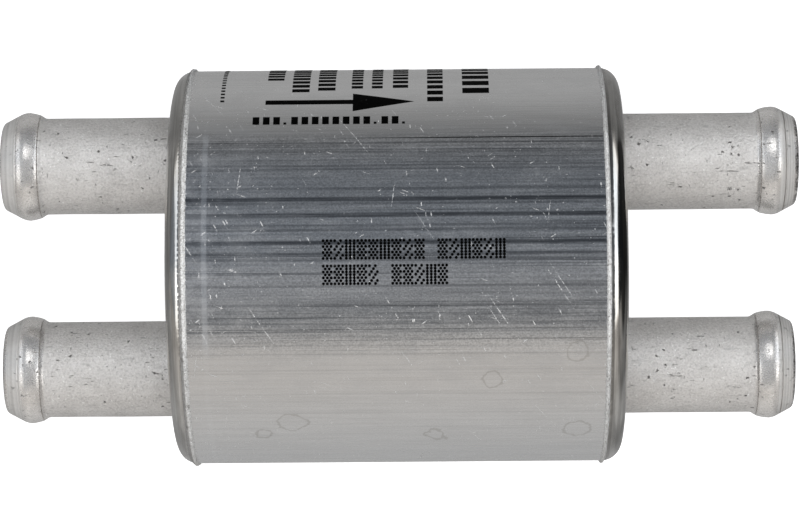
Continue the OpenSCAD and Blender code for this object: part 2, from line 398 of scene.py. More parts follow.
def drawn_tone(recipe, place, x, around, face, fine):
    """Colour of the drawn wall without its marks, and the mask of its dark lines.

    face is the mask of the side that the lines are on, and fine the wall's grain."""
    long = recipe.noise(recipe.mapping(place, (0.004, 1, 1)), 3.5, 3.0, 0.65)
    grit = recipe.noise(place, 4.6, 2.0, 0.6)
    thin = recipe.times(recipe.band(long, 0.53, 0.68), face)
    dark = recipe.highest(die_lines(recipe, around, place), recipe.times(thin, 0.68))
    light = recipe.times(recipe.band(long, 0.46, 0.3), face)

    tone = recipe.mix(recipe.band(fine, 0.3, 0.7), (0.53, 0.53, 0.53), (0.61, 0.61, 0.61))
    tone = recipe.mix(recipe.times(light, 0.6), tone, (0.74, 0.74, 0.75))
    speckle = recipe.times(recipe.band(grit, 0.3, 0.7, -0.22, 0.22), face)
    tone = recipe.scale(tone, recipe.plus(speckle, 1.0))
    smudges = recipe.band(recipe.noise(recipe.join(x, around), 0.42, 5.0, 0.68), 0.54, 0.72)
    tone = recipe.mix(recipe.times(recipe.times(smudges, face), 0.35), tone, (0.78, 0.78, 0.78))
    tone = recipe.mix(dark, tone, (0.1, 0.105, 0.115))
    tone = recipe.mix(edge_line(recipe, x, around), tone, (0.02, 0.02, 0.022))
    return tone, dark


STRIPE_X = -23.1      # middle of a faint pale stripe around the inlet end


def drawn_aluminium():
    """The can's wall: die lines along X, scratches, dried drops, a faint stripe."""
    recipe = Recipe("drawn_aluminium")
    place = recipe.place()
    x, around = around_can(recipe)
    fine = recipe.noise(recipe.mapping(place, (0.02, 1, 1)), 3.6, 4.0, 0.65)
    cloud = recipe.noise(recipe.mapping(place, (0.5, 0.8, 0.8)), 0.5, 4.0, 0.6)
    face = recipe.times(recipe.band(around, -8.5, -5.0, 0.12, 1.0),
                        recipe.band(around, 21.6, 20.0, 0.05, 1.0))
    tone, dark = drawn_tone(recipe, place, x, around, face, fine)
    tone = recipe.mix(recipe.times(dried_drops(recipe, x, around), 0.42), tone, (0.33, 0.32, 0.3))
    marks = worn_marks(recipe, x, around)
    tone = recipe.mix(recipe.times(marks, 0.75), tone, (0.84, 0.84, 0.83))
    stripe = recipe.band(recipe.math("ABSOLUTE", recipe.minus(x, STRIPE_X)), 0.45, 0.2)
    stripe = recipe.times(stripe, recipe.times(face, 0.9))
    tone = recipe.mix(recipe.times(stripe, 0.45), tone, (0.84, 0.86, 0.88))
    haze = recipe.times(recipe.band(x, -12.0, -25.0), recipe.band(cloud, 0.35, 0.6))
    haze = recipe.times(haze, face)
    tone = recipe.mix(recipe.times(haze, 0.3), tone, (0.74, 0.74, 0.75))

    roughness = recipe.band(fine, 0.3, 0.75, 0.16, 0.33)
    roughness = recipe.plus(roughness, recipe.band(cloud, 0.4, 0.7, 0.0, 0.1))
    for mask, rougher in ((stripe, 0.1), (haze, 0.1), (dark, -0.08), (marks, 0.3)):
        roughness = recipe.plus(roughness, recipe.times(mask, rougher))
    normal = recipe.bump(marks, 0.02, recipe.bump(fine, 0.012))
    metallic = recipe.minus(1.0, recipe.times(marks, 0.75))
    return recipe.finish(tone, roughness, normal, metallic=metallic)


def groove_shade(recipe, x):
    """Mask of painted shade for the narrow groove that the rolling tool leaves outside each ridge.
    """
    start, full, fading, end = GROOVE_SHADE
    reach = recipe.math("ABSOLUTE", x)
    return recipe.times(recipe.band(reach, start, full), recipe.band(reach, end, fading))


def burr_aluminium():
    """The torn, sparkling ridge that the rolling tool leaves."""
    recipe = Recipe("burr_aluminium")
    place = recipe.place()
    grain = recipe.noise(place, 4.4, 3.0, 0.68)
    spots = recipe.noise(place, 1.9, 2.0)
    x, around = around_can(recipe)
    # Painted shade: the ridge is darker on the can's flanks than at its front, where less light
    # reaches it.
    ridge_front_lit = recipe.times(recipe.band(around, -9.0, -4.0), recipe.band(around, 23.0, 18.0))
    tone = recipe.mix(recipe.band(grain, 0.34, 0.52), (0.66, 0.645, 0.62), (1.0, 1.0, 0.99))
    tone = recipe.mix(recipe.band(spots, 0.62, 0.7, 0.0, 0.7), tone, (0.3, 0.285, 0.27))
    tone = recipe.scale(tone, recipe.band(ridge_front_lit, 0.0, 1.0, 0.82, 1.0))
    # Painted shade: the groove's shadow darkens the ridge's outboard edge.
    tone = recipe.mix(recipe.times(groove_shade(recipe, x), 0.6), tone, (0.17, 0.16, 0.15))
    roughness = recipe.band(grain, 0.3, 0.7, 0.5, 0.34)
    return recipe.finish(tone, roughness, recipe.bump(grain, 0.1), metallic=0.22)


def rolled_aluminium():
    """The burnished corner and lip: faint rings and smears, rougher on the can's flanks and darker
    there as painted shade.
    """
    recipe = Recipe("rolled_aluminium")
    place = recipe.place()
    x, y, z = recipe.split(place)
    turn = recipe.math("ARCTAN2", y, z)
    around = recipe.times(turn, CAN_R)
    ringed = recipe.join(x, recipe.length(y, z), recipe.times(turn, 0.6))
    rings = recipe.noise(ringed, 3.0, 4.0, 0.6)
    smears = recipe.noise(recipe.mapping(place, (1.4, 0.3, 0.3)), 0.8, 3.0, 0.6)
    tone = recipe.mix(recipe.band(rings, 0.3, 0.7), (0.46, 0.45, 0.43), (0.66, 0.65, 0.63))
    tone = recipe.mix(recipe.band(smears, 0.42, 0.7, 0.0, 0.5), tone, (0.36, 0.35, 0.33))
    # Painted shade: the groove's shadow darkens the corner just outside the ridge.
    tone = recipe.mix(recipe.times(groove_shade(recipe, x), 0.5), tone, (0.1, 0.095, 0.09))
    # Painted shade: the corner is darker on the can's flanks than at the front, where the light
    # falls off; it is rougher there as well.
    corner_front_lit = recipe.times(recipe.band(around, 22.0, 19.0, 0.62, 1.0),
                         recipe.band(around, -23.0, -17.0, 0.7, 1.0))
    tone = recipe.scale(tone, corner_front_lit)
    roughness = recipe.plus(recipe.band(smears, 0.3, 0.7, 0.07, 0.16),
                            recipe.band(corner_front_lit, 1.0, 0.7, 0.0, 0.12))
    return recipe.finish(tone, roughness, recipe.bump(rings, 0.004), metallic=1.0)


def tumbling_pits(recipe, place, grain):
    """Mask of the pits, short cuts and nicks that tumbling leaves on the nipples."""
    patches = recipe.band(recipe.noise(place, 0.24, 1.0), 0.42, 0.66)
    distance, chosen = recipe.cells(recipe.mapping(place, (0.8, 1, 1)), 1.2)
    is_pit = recipe.math("GREATER_THAN", recipe.band(patches, 0.0, 1.0, 0.02, 0.34), chosen)
    ragged = recipe.plus(distance, recipe.band(grain, 0.3, 0.7, -0.12, 0.12))
    pits = recipe.times(recipe.band(ragged, 0.22, 0.1), is_pit)
    cuts = recipe.band(recipe.noise(recipe.mapping(place, (0.35, 1.5, 1.5)), 1.8, 2.0), 0.68, 0.75)
    nicks = recipe.band(recipe.noise(recipe.mapping(place, (2.0, 0.8, 0.8)), 1.5, 3.0), 0.69, 0.75)
    return recipe.highest(pits, recipe.times(cuts, 0.7), recipe.times(nicks, 0.6))


def tumbled_tone(recipe, place, grain, bead):
    """Colour of the tumbled metal, with less grain on the bead."""
    along = recipe.noise(recipe.mapping(place, (0.3, 1, 1)), 1.6, 3.0, 0.6)
    blotches = recipe.noise(place, 0.32, 3.0, 0.55)
    coarse = recipe.minus(1.0, recipe.times(bead, 0.6))
    low = recipe.times(recipe.band(grain, 0.3, 0.5, 0.42, 0.0), coarse)
    high = recipe.times(recipe.band(grain, 0.5, 0.7, 0.0, 0.6), coarse)
    tone = recipe.mix(recipe.band(blotches, 0.35, 0.65), (0.655, 0.635, 0.615), (0.73, 0.71, 0.69))
    tone = recipe.mix(low, tone, (0.38, 0.37, 0.36))
    tone = recipe.mix(high, tone, (0.86, 0.845, 0.825))
    return recipe.mix(recipe.band(along, 0.58, 0.72, 0.0, 0.4), tone, (0.4, 0.39, 0.38))


def tumbled_aluminium():
    """The nipples: a fine matte grain with pits, bright specks and turned ends."""
    recipe = Recipe("tumbled_aluminium")
    place = recipe.place()
    x = recipe.split(place)[0]
    reach = recipe.math("ABSOLUTE", x)
    grain = recipe.noise(place, 3.6, 3.0, 0.62)
    bead = recipe.band(reach, NIPPLE_TIP - 5.2, NIPPLE_TIP - 4.8)
    tip = recipe.times(recipe.band(reach, NIPPLE_TIP - 2.2, NIPPLE_TIP - 1.9),
                       recipe.band(reach, NIPPLE_TIP - 0.1, NIPPLE_TIP - 0.4))
    tone = tumbled_tone(recipe, place, grain, bead)
    pits = tumbling_pits(recipe, place, grain)
    tone = recipe.mix(recipe.times(pits, 0.8), tone, (0.1, 0.095, 0.09))
    sparkle = recipe.band(recipe.noise(place, 2.7, 1.0), 0.69, 0.76)
    tone = recipe.mix(recipe.times(sparkle, 0.7), tone, (1.0, 1.0, 0.98))
    rings = recipe.band(recipe.noise(recipe.join(x, 0.0), 2.8, 3.0, 0.6), 0.36, 0.6)
    ring_tone = recipe.mix(rings, (0.54, 0.53, 0.51), (0.86, 0.85, 0.83))
    tone = recipe.mix(recipe.times(tip, 0.5), tone, ring_tone)
    soot = recipe.times(recipe.band(x, NIPPLE_TIP - 0.25, NIPPLE_TIP + 0.08),
                        recipe.band(recipe.noise(place, 0.9, 3.0, 0.6), 0.42, 0.56))
    tone = recipe.mix(recipe.times(soot, 0.75), tone, (0.07, 0.066, 0.06))

    smooth = recipe.minus(1.0, recipe.times(bead, 0.8))
    normal = recipe.bump(recipe.times(grain, smooth), 0.11)
    normal = recipe.bump(pits, -0.12, normal)
    roughness = recipe.minus(recipe.band(grain, 0.3, 0.7, 0.5, 0.38), recipe.times(bead, 0.16))
    roughness = recipe.plus(roughness, recipe.times(tip, 0.1))
    metallic = recipe.minus(recipe.plus(0.42, recipe.times(bead, 0.34)), recipe.times(tip, 0.36))
    return recipe.finish(tone, roughness, normal, metallic=metallic)


def turned_aluminium():
    """The end plates: the fine rings of a lathe tool and a few dull spots."""
    recipe = Recipe("turned_aluminium")
    place = recipe.place()
    y, z = recipe.split(place)[1:]
    rings = recipe.noise(recipe.join(recipe.length(y, z), 0.0), 5.0, 3.0, 0.6)
    spots = recipe.noise(place, 0.5, 4.0, 0.6)
    tone = recipe.mix(recipe.band(rings, 0.3, 0.7), (0.5, 0.5, 0.5), (0.68, 0.68, 0.68))
    tone = recipe.mix(recipe.band(spots, 0.5, 0.75, 0.0, 0.5), tone, (0.4, 0.39, 0.37))
    roughness = recipe.band(spots, 0.3, 0.7, 0.28, 0.42)
    return recipe.finish(tone, roughness, recipe.bump(rings, 0.02), metallic=1.0)


def braze_metal():
    recipe = Recipe("braze_metal")
    place = recipe.place()
    flow = recipe.noise(place, 2.0, 3.0, 0.6)
    tone = recipe.mix(recipe.band(flow, 0.3, 0.7), (0.52, 0.5, 0.47), (0.76, 0.75, 0.73))
    return recipe.finish(tone, recipe.band(flow, 0.3, 0.7, 0.3, 0.5), recipe.bump(flow, 0.05),
                         metallic=1.0)


def printing_ink():
    """Black ink, thin and a little worn through."""
    recipe = Recipe("printing_ink")
    place = recipe.place()
    worn = recipe.noise(recipe.mapping(place, (0.4, 1, 1)), 3.4, 4.0, 0.6)
    tone = recipe.mix(recipe.band(worn, 0.68, 0.76), (0.001, 0.001, 0.001), (0.11, 0.11, 0.112))
    return recipe.finish(tone, recipe.band(worn, 0.3, 0.7, 0.75, 0.6), recipe.bump(worn, 0.006),
                         specular=0.02)


def rubber(name, tint):
    recipe = Recipe(name)
    place = recipe.place()
    grain = recipe.noise(place, 3.0, 4.0, 0.6)
    dust = recipe.noise(place, 0.4, 3.0)
    tone = recipe.mix(recipe.band(dust, 0.5, 0.8, 0.0, 0.4), tint, (0.09, 0.088, 0.085))
    return recipe.finish(tone, recipe.band(grain, 0.3, 0.7, 0.5, 0.7), recipe.bump(grain, 0.02))


def glass_fibre():
    """Matted fibres: fine crossed strands with open, darker gaps."""
    recipe = Recipe("glass_fibre")
    place = recipe.place()
    layers = []
    for turn, shift in ((25, 0.0), (-40, 5.0), (80, 9.0)):
        turned = recipe.mapping(place, (1, 1, 1), turn, (shift, shift, 0))
        layers.append(recipe.noise(recipe.mapping(turned, (0.7, 9.0, 9.0)), 1.0, 2.0))
    strands = recipe.highest(*layers)
    tone = recipe.mix(recipe.band(strands, 0.45, 0.75), (0.72, 0.7, 0.64), (0.93, 0.92, 0.89))
    return recipe.finish(tone, recipe.band(strands, 0.4, 0.8, 0.95, 0.8),
                         recipe.bump(strands, 0.05))


def moulded_plastic(name, dark, light):
    """Moulded plastic with a fine grain and faint flow marks."""
    recipe = Recipe(name)
    place = recipe.place()
    flow = recipe.noise(place, 0.25, 3.0, 0.5, 1.2)
    grain = recipe.noise(place, 7.0, 2.0)
    tone = recipe.mix(recipe.band(flow, 0.3, 0.7), dark, light)
    return recipe.finish(tone, recipe.band(grain, 0.3, 0.7, 0.42, 0.58), recipe.bump(grain, 0.01))


def potting_adhesive():
    recipe = Recipe("potting_adhesive")
    place = recipe.place()
    cloud = recipe.noise(place, 0.6, 3.0)
    tone = recipe.mix(recipe.band(cloud, 0.3, 0.7), (0.55, 0.4, 0.2), (0.74, 0.6, 0.36))
    return recipe.finish(tone, recipe.band(cloud, 0.3, 0.7, 0.2, 0.35), recipe.bump(cloud, 0.03))


def drawn_wire():
    recipe = Recipe("drawn_wire")
    place = recipe.place()
    streaks = recipe.noise(recipe.mapping(place, (6, 1, 1)), 2.0, 3.0)
    tone = recipe.mix(recipe.band(streaks, 0.3, 0.7), (0.36, 0.36, 0.37), (0.58, 0.58, 0.59))
    return recipe.finish(tone, recipe.band(streaks, 0.3, 0.7, 0.22, 0.38),
                         recipe.bump(streaks, 0.01), metallic=1.0)


# ---------------------------------------------------------------- the can

def ridge_outline(end, steps=8):
    """The burr ridge of one end, from its inboard foot to its outboard foot."""
    ridge = RIDGES[end]
    points = []
    for i in range(steps + 1):
        t = i / steps
        x = ridge["x"] - ridge["half"] + 2 * ridge["half"] * t
        past = max(0.0, x - CORNER_X)
        ground = CAN_R - CORNER_R + math.sqrt(CORNER_R ** 2 - past ** 2)
        points.append((x, ground + ridge["height"] * math.sin(math.pi * t) ** 0.7))
    return points


def end_outline(end):
    """One end of the can, outlet side up, from the wall's outside to its inside.

    Returns the points and each one's material: 0 wall, 1 ridge, 2 rolled metal."""
    ridge = ridge_outline(end)
    corner_mid = (CORNER_X, CAN_R - CORNER_R)
    start = math.degrees(math.acos((ridge[-1][0] - CORNER_X) / CORNER_R))
    corner = arc(corner_mid, CORNER_R, start, 0, 14)[1:]
    lip_round = ROLLED_WALL / 2
    lip = arc((CAN_END - lip_round, LIP_R + lip_round), lip_round, 0, -180, 8)
    under = arc(corner_mid, CORNER_R - ROLLED_WALL, 0, 90, 5)
    inside = [(PLATE_IN, SEAT_R), (PLATE_IN, CAN_R - WALL)]
    points = ridge + corner + lip + under + inside
    kinds = [1] * (len(ridge) - 1) + [2] * (len(points) - len(ridge) + 1)
    return points, kinds


def can_shell():
    """The drawn can with both rolled ends, as one turned shell."""
    wall_steps, near = 4, 0.06      # near is where the wall's points start beside a ridge
    outlet, outlet_kinds = end_outline(1)
    inlet, inlet_kinds = end_outline(-1)
    inlet = [(-x, r) for x, r in reversed(inlet)]
    inlet_kinds = inlet_kinds[-2::-1] + [0]
    first, last = inlet[-1][0] + near, outlet[0][0] - near
    wall = [(first, CAN_R), (first + 4 * near, CAN_R)]
    wall += line((first + 8 * near, CAN_R), (last - 8 * near, CAN_R), wall_steps)
    wall += [(last - 4 * near, CAN_R), (last, CAN_R)]
    outline = inlet + wall + outlet
    kinds = inlet_kinds + [0] * len(wall) + outlet_kinds
    rng = np.random.default_rng(7)
    slow = random.Random(3)
    wave = 0.03                     # height of the slow waves along a ridge

    def worn(xs, rs, turns):
        granular = rng.normal(0.0, 1.0, xs.shape)
        for sign, ridge in RIDGES.items():
            away = np.abs(sign * xs - ridge["x"]) / ridge["half"]
            amount = ridge["grain"] * np.clip(1.25 - away, 0, 1) * (rs > CAN_R - 0.2)
            rs = rs + amount * granular
            xs = xs + amount * 0.7 * np.roll(granular, 3, axis=1)
            rs = rs + wave * np.clip(1.1 - away, 0, 1) * ripple(turns * 5, 6, slow)
        rolled = (np.abs(xs) > CORNER_X + 0.4) & (rs > LIP_R + 1)
        return xs + np.sign(xs) * rolled * DENT * ripple(turns, 5, slow), rs

    piece = lathe("can_shell", outline, SHELL_SEGMENTS,
                  [drawn_aluminium(), burr_aluminium(), rolled_aluminium()],
                  kinds=kinds, shape=worn)
    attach(piece, "root")
    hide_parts("body_tube")


# ---------------------------------------------------------------- the nipples

def nipple_outline(end, longer):
    """Outline of a nipple from its staked root, over the bead, back down the bore."""
    tip, bead, cone = NIPPLE_TIP + longer, BEADS[end], math.radians(CONE)
    crest = tip - bead["crest"]
    points = line((PLATE_OUT - STEP_DEEP, NIPPLE_R), (tip - BEAD_RISE[0][0], NIPPLE_R), 16)
    points += [(tip - back, radius) for back, radius in BEAD_RISE]
    points += [(crest - 0.2, BEAD_R - 0.02)]
    points += arc((crest, BEAD_R - bead["radius"]), bead["radius"], 90, 90 - CONE, 10)
    shoulder_x, shoulder_r = points[-1]

    def on_cone(back):
        return shoulder_r - math.tan(cone) * (tip - back - shoulder_x)

    for off, depth in ((TOOL_LINE_HALF, 0.0), (0.0, bead["deep"]), (-TOOL_LINE_HALF, 0.0)):
        back = bead["line"] + off
        points.append((tip - back, on_cone(back) - depth))
    points += [(tip - back, on_cone(back)) for back in (1.4, 1.1, 0.8, 0.6)]
    round_start = TIP_ROUND * (1 - math.sin(cone))
    round_r = on_cone(round_start) - TIP_ROUND * math.cos(cone)
    points += arc((tip - TIP_ROUND, round_r), TIP_ROUND, 90 - CONE, 0, 6)
    points += arc((tip - MOUTH_ROUND, BORE_R + MOUTH_ROUND), MOUTH_ROUND, 0, -90, 4)
    points += line((tip - 0.5, BORE_R), (NIPPLE_ROOT, BORE_R), 12)
    points += [(NIPPLE_ROOT, BORE_R), (NIPPLE_ROOT, STAKE_R - STAKE_BEVEL)]
    points += [(NIPPLE_ROOT + STAKE_BEVEL, STAKE_R), (PLATE_IN, STEM_R)]
    points += [(PLATE_OUT - STEP_DEEP, STEM_R)]
    return points


def hose_nipple(end, side, material):
    """One nipple, turned and slightly dented outside its plate."""
    name = f"{END_NAMES[end]}_nipple_{SIDE_NAMES[side]}"
    slow = random.Random(name)

    def worn(xs, rs, turns):
        out = (rs > BORE_R + 0.25) & (xs > PLATE_OUT)
        dents = ripple(turns + xs * 0.05, 5, slow)
        return xs * end, rs + out * DENT * dents

    outline = nipple_outline(end, LONGER[end, side])
    if end < 0:
        outline = outline[::-1]
    piece = lathe(name + "_fine", outline, NIPPLE_SEGMENTS, [material],
                  side * NIPPLE_Y, shape=worn)
    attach(piece, "root")
    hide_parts(name)
    return piece


def braze_fillets(end, material):
    """Both fillets of one end, a little uneven, as flowed metal is."""
    node = END_NAMES[end] + "_braze_rings"
    fillet, uneven = 0.5, 0.12
    slow = random.Random(node)
    hollow = arc((PLATE_OUT + fillet, NIPPLE_R + fillet), fillet, 270, 180, 6)
    outline = hollow + [(PLATE_OUT, NIPPLE_R + 0.01)]
    outline = outline[::end]
    for side in (-1, 1):
        def flowed(xs, rs, turns):
            grow = 1 + uneven * ripple(turns, 6, slow)
            return (end * (PLATE_OUT + (xs - PLATE_OUT) * grow),
                    NIPPLE_R + (rs - NIPPLE_R) * grow)

        piece = lathe(f"{node}_{SIDE_NAMES[side]}", outline, NIPPLE_SEGMENTS, [material],
                      side * NIPPLE_Y, shape=flowed)
        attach(piece, "root")
        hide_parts(node)


# ---------------------------------------------------------------- printed marks

class Print:
    """Flat marks wrapped on the can, each a thin closed solid in one mesh."""

    proud, sunk, step = 0.02, 0.03, 0.25

    def __init__(self, name):
        self.name, self.points, self.faces = name, [], []

    def strip(self, rows):
        """A mark from rows of (around, x from, x to), in order around the can."""
        first = len(self.points)
        for around, x_from, x_to in rows:
            turn = around / CAN_R
            for radius in (CAN_R + self.proud, CAN_R - self.sunk):
                for x in (x_from, x_to):
                    self.points.append((x, radius * math.sin(turn), radius * math.cos(turn)))
        for i in range(len(rows) - 1):
            a, b = first + 4 * i, first + 4 * (i + 1)
            for p, q in ((0, 1), (1, 3), (3, 2), (2, 0)):
                self.faces.append((a + p, a + q, b + q, b + p))
        last = first + 4 * (len(rows) - 1)
        self.faces.append((first, first + 2, first + 3, first + 1))
        self.faces.append((last, last + 1, last + 3, last + 2))

    def block(self, x_from, x_to, around_from, around_to):
        steps = max(1, math.ceil((around_to - around_from) / self.step))
        self.strip([(around_from + (around_to - around_from) * i / steps, x_from, x_to)
                    for i in range(steps + 1)])

    def dot(self, x, around, radius):
        rows = []
        for turn in (-80, -48, -16, 16, 48, 80):
            half = radius * math.cos(math.radians(turn))
            rows.append((around + radius * math.sin(math.radians(turn)), x - half, x + half))
        self.strip(rows)

    def done(self, material):
        piece = make_mesh(self.name, self.points, self.faces, [material], sharp=30)
        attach(piece, "root")


def flow_arrow(ink):
    """Arrow that shows which way the gas flows."""
    mark = Print("flow_arrow")
    tail, base, tip = -16.05, -5.3, 2.2                  # along X
    middle, shaft_half, head_half = 27.1, 0.46, 1.95     # around the can
    mark.block(tail, base, middle - shaft_half, middle + shaft_half)
    steps = 16
    rows = []
    for i in range(steps + 1):
        off = head_half * (2 * i / steps - 1)
        reach = max(0.02, (tip - base) * (1 - abs(off) / head_half))
        rows.append((middle + off, base, base + reach))
    mark.strip(rows)
    mark.done(ink)


def tick_row(ink):
    """Row of short dashes around the can beside the inlet end."""
    mark = Print("tick_row")
    x_from, x_to = -21.64, -21.14
    first, pitch, dash, count = 27.3, 0.86, 0.36, 26
    for i in range(count):
        around = first + pitch * i
        mark.block(x_from, x_to, around, around + dash)
    mark.done(ink)


def bar_line(ink):
    """A wordless line of blocks below the arrow, with a small square after each group."""
    mark = Print("bar_line")
    low, high, square = 22.75, 24.1, 0.35
    pitch, width = 1.26, 0.82
    x = -17.5
    for group in (3, 8, 2):
        for _ in range(group):
            mark.block(x, x + width, low, high)
            x += pitch
        mark.block(x, x + square, low, low + square)
        x += pitch * 0.75
    mark.done(ink)


# Columns of blocks: x from and to, first block around the can, pitch, and how many.
LABEL_COLUMNS = (
    (-16.0, -13.95, 33.4, 1.3, 8), (-12.85, -10.7, 29.6, 1.3, 12),
    (-9.65, -7.5, 30.0, 1.3, 12), (-5.5, -4.1, 30.5, 1.15, 13),
    (-3.0, -1.65, 30.5, 1.15, 13), (-0.4, 1.5, 30.6, 1.4, 10),
    (3.85, 5.8, 27.1, 1.6, 9), (8.2, 11.5, 29.0, 2.2, 7),
)


def label_columns(ink):
    """Wordless columns of blocks that run over the top of the can."""
    mark = Print("label_columns")
    filled = 0.62       # share of the pitch that a block takes
    for x_from, x_to, around, pitch, count in LABEL_COLUMNS:
        for i in range(count):
            start = around + i * pitch
            mark.block(x_from, x_to, start, start + pitch * filled)
    mark.done(ink)


def chequer(i, j):
    return (i + j) % 2 == 0


def posts(i, j):
    return i % 2 == 0


def hatch(i, j):
    return (i + j) % 3 == 0


def dot_code(ink):
    """Two lines of dot patterns without lettering, as a marking machine prints them."""
    mark = Print("dot_code")
    columns, rows, dot_r = 5, 7, 0.185
    pitch, across, down = 1.385, 0.235, 0.355     # of the cells, and of the dots in one
    start_x = -8.75
    lines = ((6.65, (9, 6)), (3.6, (5, 5)))       # place around the can, cells by group
    patterns = (chequer, posts, hatch)
    count = 0
    for around, groups in lines:
        x = start_x
        for group in groups:
            for _ in range(group):
                pattern = patterns[count * 2 % 3 if count % 4 else 0]
                count += 1
                for i in range(columns):
                    for j in range(rows):
                        if pattern(i, j):
                            mark.dot(x + i * across, around - j * down, dot_r)
                x += pitch
            x += pitch
    mark.done(ink)


# ---------------------------------------------------------------- other pieces

def paint(names, material):
    """Gives carried-over CAD nodes a material."""
    for name in names:
        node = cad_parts[name]
        for slot in node.material_slots:
            slot.material = material


# ---------------------------------------------------------------- studio

VIEW_TILT, VIEW_YAW, VIEW_ROLL = 8.18, -0.59, 0.47    # degrees about X, Y and Z
VIEW_DISTANCE = 409.2
VIEW_SHIFT = (-0.19, 0.03, 0.0)
LENS = 144.3
FILL_PLACE, FILL_SIZE, FILL_RADIANCE = (0.0, 0.07, 1.2), 1.3, 2.4        # lengths in metres
SHINE_PLACE, SHINE_SIZE, SHINE_RADIANCE = (0.0, 0.68, 0.87), 0.5, 2.0

# The world around the can. At each angle about X it mixes three profiles, which run
# along X from the inlet's side (-1) to the outlet's (1) as (direction, brightness).
CEILING_LEAN = math.radians(6)    # the edges between profiles turn this far along the can
CEILING = ((-1.0, 0.35), (-0.9, 0.42), (-0.8, 0.6), (-0.77, 2.3), (-0.58, 2.3), (-0.53, 0.42),
           (-0.1, 0.45), (0.0, 0.335), (0.1, 0.28), (0.49, 0.28), (0.53, 2.9), (0.76, 2.9),
           (0.8, 0.02), (1.0, 0.02))
SIDES = ((-1.0, 0.38), (-0.8, 0.45), (-0.6, 0.6), (-0.42, 0.56), (-0.22, 0.76), (0.22, 0.76),
         (0.42, 0.38), (0.52, 0.62), (0.66, 0.6), (0.78, 0.24), (0.91, 0.34), (0.955, 0.04),
         (1.0, 0.02))
GROUND = ((-1.0, 0.27), (-0.85, 0.3), (-0.7, 0.38), (-0.2, 0.56), (0.1, 0.56), (0.3, 0.46),
          (0.5, 0.4), (0.68, 0.38), (0.76, 0.03), (1.0, 0.02))
# Shares of ceiling, sides and ground by angle, in degrees from +Z towards +Y.
SHARES = ((-180, (0, 0, 0.78)), (-172, (0, 0, 0.78)), (-156, (0, 0.63, 0)), (-130, (0, 0.78, 0)),
          (-112, (0, 0.87, 0)), (-96, (0, 0.95, 0)), (-50, (0, 1.0, 0)), (-37, (0, 0.97, 0)),
          (-29, (0.7, 0.08, 0)), (-24, (0.74, 0, 0)), (-5, (0.98, 0, 0)), (6, (1.06, 0, 0)),
          (15, (0.7, 0, 0)), (87, (0.56, 0, 0)), (92, (0.15, 0, 0.41)), (103, (0, 0, 0.65)),
          (116, (0, 0, 0.9)), (134, (0, 0, 1.0)), (152, (0, 0, 0.86)), (164, (0, 0, 0.78)),
          (180, (0, 0, 0.78)))
STRIP_TINT = (1.04, 1.0, 0.94)    # the bright strips at the ends are a little warmer
WARM, COOL, PLAIN = (1.045, 1.0, 0.955), (0.9, 0.985, 1.11), (1.0, 1.0, 1.0)
TINTS = ((-130, PLAIN), (-90, (1.02, 1.0, 0.98)), (-60, WARM), (-36, WARM),
         (-28, (0.97, 1.0, 1.04)), (4, (0.96, 0.99, 1.05)), (16, COOL), (60, COOL),
         (88, (0.97, 1.0, 1.05)), (96, PLAIN))
DIMMED = 0.75         # how much of the world matte surfaces don't see
BACKDROP = 0.98       # brightness that the camera sees behind the floor


def camera():
    """A long lens almost straight above the can, tilted towards its +Y side."""
    turn = (Matrix.Rotation(math.radians(VIEW_ROLL), 4, "Z")
            @ Matrix.Rotation(math.radians(VIEW_YAW), 4, "Y")
            @ Matrix.Rotation(math.radians(VIEW_TILT), 4, "X")).inverted()
    place = Vector((0, 0, VIEW_DISTANCE)) - Vector(VIEW_SHIFT)
    data = bpy.data.cameras.new("camera")
    data.lens = LENS
    data.sensor_width = 36.0
    data.clip_start = 0.01
    data.clip_end = 20.0
    made = bpy.data.objects.new("camera", data)
    made.matrix_world = Matrix.Translation(turn @ place * MM) @ turn
    bpy.context.scene.collection.objects.link(made)
    bpy.context.scene.camera = made


def floor():
    """A pale floor under the filter, in metres. It glows a little and doesn't light it."""
    size, glow = 3.0, 0.7
    low = cad_box[0][2]
    mesh = bpy.data.meshes.new("floor")
    corners = [(-size, -size, low), (size, -size, low), (size, size, low), (-size, size, low)]
    mesh.from_pydata(corners, [], [(0, 1, 2, 3)])
    recipe = Recipe("pale_floor")
    cloud = recipe.noise(recipe.place(), 0.01, 2.0)
    tone = recipe.mix(cloud, (0.9, 0.9, 0.9), (0.93, 0.93, 0.93))
    recipe.finish(tone, 0.9)
    recipe.shader.inputs["Emission Color"].default_value = (1.0, 1.0, 1.0, 1.0)
    recipe.shader.inputs["Emission Strength"].default_value = glow
    mesh.materials.append(recipe.material)
    made = bpy.data.objects.new("floor", mesh)
    made.visible_glossy = False
    made.visible_diffuse = False
    made.visible_shadow = False
    bpy.context.scene.collection.objects.link(made)


def ramp(nodes, factor, stops):
    """A colour ramp over stops of (position, colour)."""
    made = nodes.node("ValToRGB", {0: factor})
    elements = made.color_ramp.elements
    while len(elements) > 1:
        elements.remove(elements[-1])
    elements[0].position, elements[0].color = stops[0][0], (*stops[0][1], 1)
    for position, colour in stops[1:]:
        elements.new(position).color = (*colour, 1)
    return made.outputs[0]


def linear(nodes, value, low, high):
    """value from low to high as 0 to 1, held at the ends."""
    made = nodes.node("MapRange", {"Value": value, "From Min": low, "From Max": high})
    return made.outputs["Result"]


def turned_stops(stops):
    """Stops for a ramp over the turn, from stops in degrees."""
    return [((degrees + 180) / 360, colour) for degrees, colour in stops]


def profile(nodes, along, stops):
    """Brightness along X, with the bright strips tinted."""
    coloured = []
    for x, level in stops:
        tint = STRIP_TINT if level > 1 else PLAIN
        coloured.append(((x + 1) / 2, tuple(level * part for part in tint)))
    return ramp(nodes, along, coloured)


